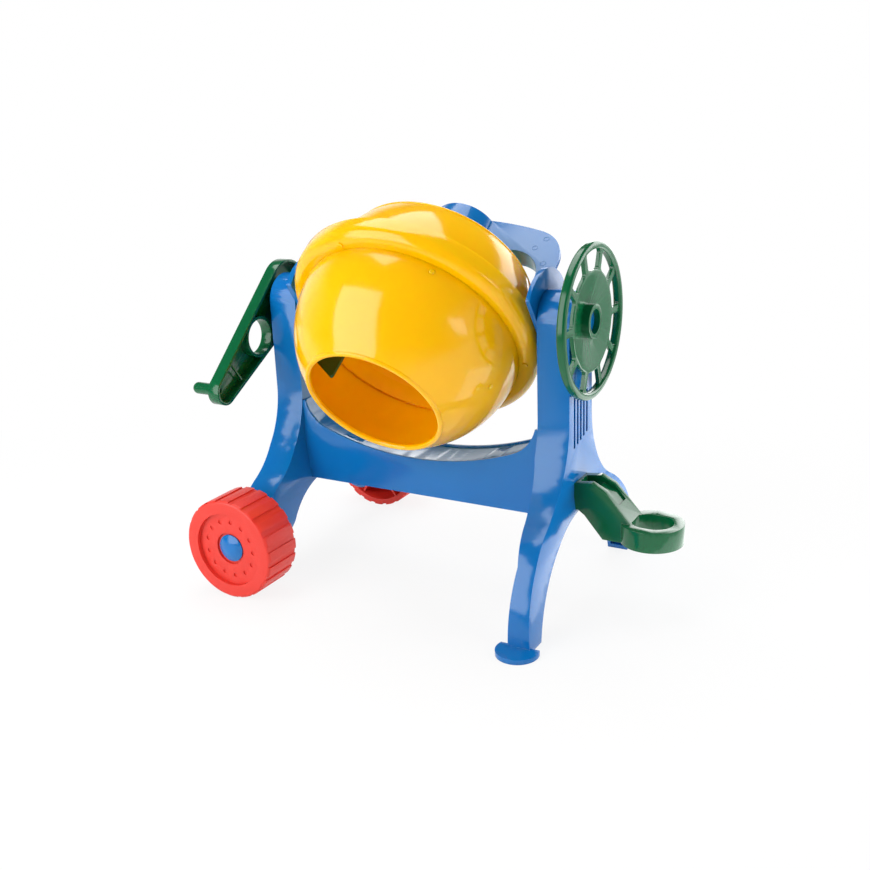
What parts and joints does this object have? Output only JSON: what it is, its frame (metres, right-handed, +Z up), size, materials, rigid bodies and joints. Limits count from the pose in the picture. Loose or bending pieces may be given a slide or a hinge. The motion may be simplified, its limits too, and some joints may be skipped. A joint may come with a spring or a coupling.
{
  "type": "toy concrete mixer",
  "caption": "Hand-cranked toy concrete mixer: a geared drum turns in a tilting yoke between two arched towers, with a hand wheel, road wheels and a tow ring.",
  "frame": {"origin": "on the floor, midway along the toy's length and midway between its front and back feet", "axes": "+X along the tilt axis from the crank side to the tow ring, -Y the way the drum pours, +Z up from the floor"},
  "size_m": [0.421, 0.279, 0.3307],
  "materials": {
    "frame_blue": "moulded blue polypropylene, glossy",
    "drum_yellow": "moulded yellow polypropylene, glossy",
    "drive_green": "moulded dark green polypropylene, glossy",
    "wheel_red": "moulded orange red polypropylene, satin gloss",
    "screw_steel": "zinc plated steel"
  },
  "bodies": {
    "frame": {"left_tower": "frame_blue", "right_tower": "frame_blue", "cross_panel": "frame_blue", "frame_screws": "screw_steel", "left_bush": "drive_green", "right_bush": "drive_green", "tow_hitch": "drive_green", "hitch_screws": "screw_steel", "front_axle": "frame_blue", "rear_axle": "frame_blue"},
    "yoke": {"tilt_yoke": "frame_blue", "hand_wheel": "drive_green", "drum_spindle": "screw_steel", "spindle_washer": "screw_steel", "spindle_screw": "screw_steel"},
    "drum": {"drum_front_shell": "drum_yellow", "drum_rear_shell": "drum_yellow", "drum_gear_ring": "drive_green", "spindle_bush": "drive_green", "drum_rivets": "drum_yellow", "mixing_blade_a": "drive_green", "mixing_blade_b": "drive_green"},
    "crank": {"crank": "drive_green", "crank_shaft": "screw_steel", "drive_pinion": "drive_green", "crank_screw": "screw_steel"},
    "front_wheel": {"front_wheel": "wheel_red"},
    "rear_wheel": {"rear_wheel": "wheel_red"}
  },
  "joints": [
    {"name": "tilt", "type": "hinge", "parent": "frame", "child": "yoke", "pos_m": [-0.0235, 0, 0.238], "axis": [1, 0, 0], "range_deg": [-85, 20]},
    {"name": "drum_turn", "type": "hinge", "parent": "yoke", "child": "drum", "pos_m": [-0.0235, 0, 0.238], "axis": [0, -0.8221, -0.5693], "continuous": true},
    {"name": "crank_turn", "type": "hinge", "parent": "yoke", "child": "crank", "pos_m": [-0.0235, 0, 0.238], "axis": [1, 0, 0], "continuous": true},
    {"name": "front_wheel_turn", "type": "hinge", "parent": "frame", "child": "front_wheel", "pos_m": [-0.1485, -0.1205, 0.045], "axis": [0, 1, 0], "continuous": true},
    {"name": "rear_wheel_turn", "type": "hinge", "parent": "frame", "child": "rear_wheel", "pos_m": [-0.1485, 0.1205, 0.045], "axis": [0, 1, 0], "continuous": true}
  ],
  "couplings": [
    {"joint": "crank_turn", "follows": "drum_turn", "ratio": 8}
  ]
}
